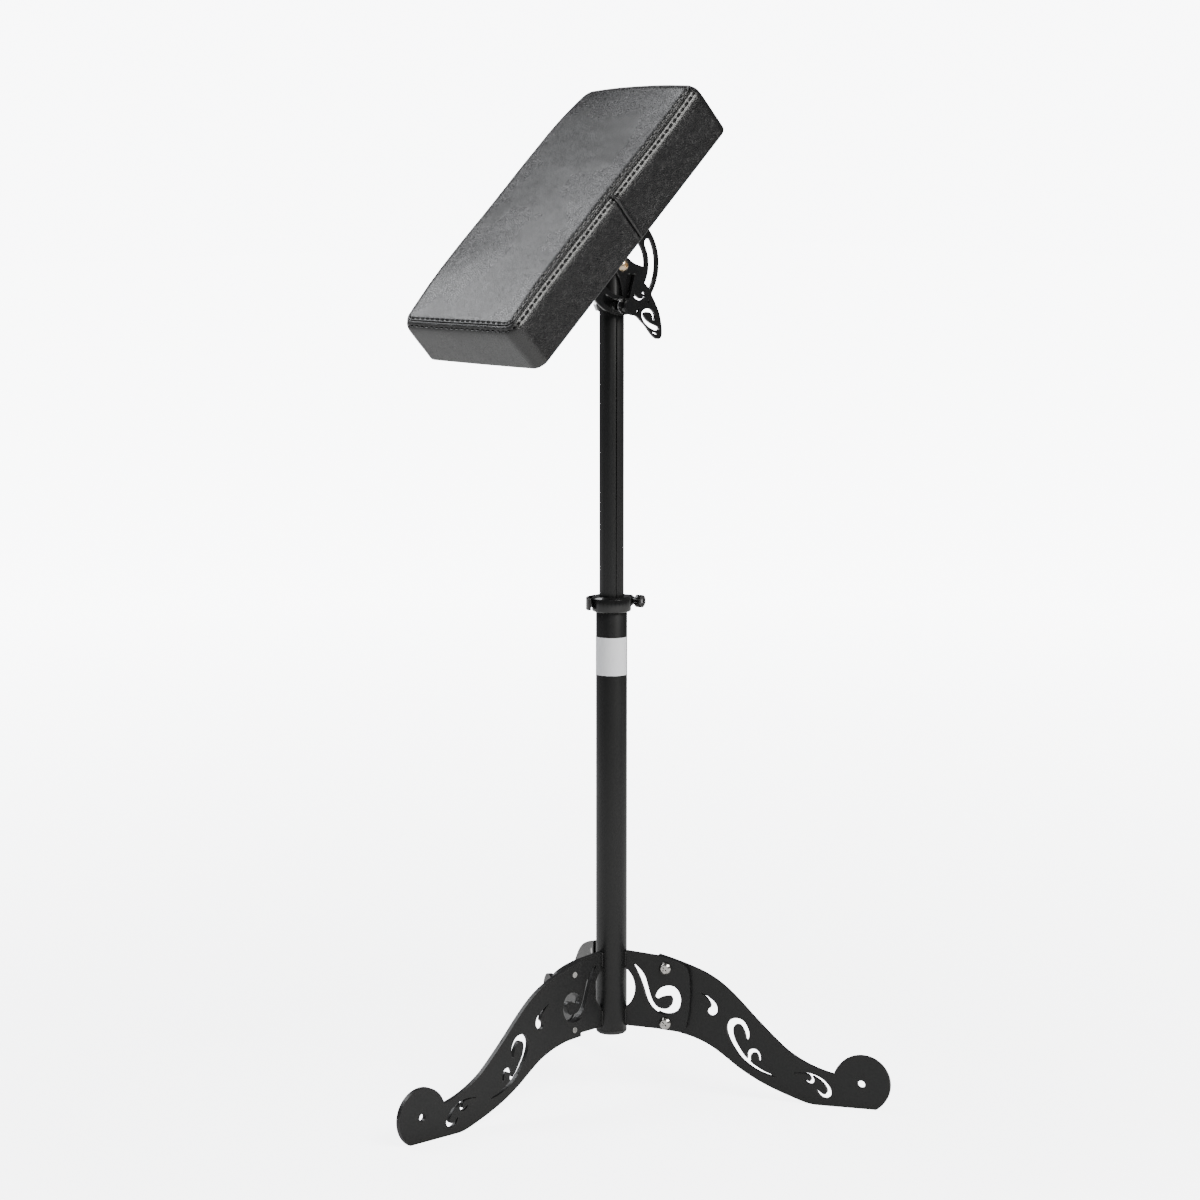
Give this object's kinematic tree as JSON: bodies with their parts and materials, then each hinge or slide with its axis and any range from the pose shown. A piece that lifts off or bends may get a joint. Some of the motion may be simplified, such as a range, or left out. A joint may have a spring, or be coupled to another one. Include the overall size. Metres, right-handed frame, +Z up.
{
  "type": "tattoo arm rest stand",
  "caption": "Free-standing arm rest: a padded rest that tilts on a slotted quadrant, on a telescopic post with a quick release collar and three flat pierced legs.",
  "frame": {"origin": "on the floor, under the middle of the whole stand's box", "axes": "+Z up; +X the way the pad slopes up as stored; the pad tilts about a bolt along Y, with the pierced quadrant on the -Y side"},
  "size_m": [0.4475, 0.5116, 1.0332],
  "materials": {
    "powder_coat": "satin black powder coat on steel",
    "gloss_black": "gloss black enamel",
    "chrome_screws": "bright chrome",
    "zinc_steel": "zinc plated",
    "bronze_steel": "yellow passivated steel",
    "black_plastic": "moulded, fine texture",
    "white_plastic": "moulded bearing plastic",
    "black_leather": "coated black leather with a satin sheen",
    "foam": "open cell foam",
    "plywood": "plain plywood",
    "lining_cloth": "black non-woven cloth"
  },
  "bodies": {
    "base": {"post_tube": "powder_coat", "post_end_plug": "black_plastic", "post_guide_bush": "black_plastic", "hub_plate_left": "powder_coat", "hub_plate_right": "powder_coat", "hub_plate_back": "powder_coat", "leg_left": "powder_coat", "leg_right": "powder_coat", "leg_back": "powder_coat", "leg_screws": "chrome_screws", "clamp_collar": "gloss_black", "clamp_skewer": "zinc_steel", "cam_shoe": "black_plastic"},
    "collar_lever_body": {"collar_lever": "gloss_black", "cam_pin": "zinc_steel"},
    "clamp_nut_body": {"clamp_nut": "gloss_black"},
    "slider": {"foot_bush": "white_plastic"},
    "mast": {"mast_tube": "powder_coat", "mast_end_plug": "black_plastic", "foot_bush_clip": "zinc_steel", "mast_cap": "black_plastic", "head_saddles": "gloss_black", "pivot_screw": "bronze_steel", "pivot_nut": "zinc_steel", "clamp_bolt": "zinc_steel", "clamp_washer": "zinc_steel"},
    "tilt_lever_body": {"tilt_lever": "gloss_black"},
    "pad": {"quadrant_plate": "gloss_black", "base_plate": "gloss_black", "board_screws": "zinc_steel", "pad_board": "plywood", "pad_foam": "foam", "pad_cover": "black_leather", "pad_lining": "lining_cloth"}
  },
  "joints": [
    {"name": "mast_slide", "type": "slide", "parent": "base", "child": "slider", "axis": [0, 0, 1], "range_m": [-0.225, 0.12]},
    {"name": "mast_swivel", "type": "hinge", "parent": "slider", "child": "mast", "pos_m": [0.0735, 0, 0.4], "axis": [0, 0, 1], "continuous": true},
    {"name": "pad_tilt", "type": "hinge", "parent": "mast", "child": "pad", "pos_m": [0.0735, 0, 0.853], "axis": [0, -1, 0], "range_deg": [-117, 33]},
    {"name": "tilt_lever_turn", "type": "hinge", "parent": "mast", "child": "tilt_lever_body", "pos_m": [0.0735, 0, 0.8125], "axis": [0, -1, 0], "range_deg": [-90, 5]},
    {"name": "collar_lever_swing", "type": "hinge", "parent": "base", "child": "collar_lever_body", "pos_m": [0.0956, 0.0209, 0.50975], "axis": [0, 0, -1], "range_deg": [0, 150]},
    {"name": "clamp_nut_turn", "type": "hinge", "parent": "base", "child": "clamp_nut_body", "pos_m": [0.09945, 0.00744, 0.50975], "axis": [0.2756, -0.9613, 0], "continuous": true}
  ]
}
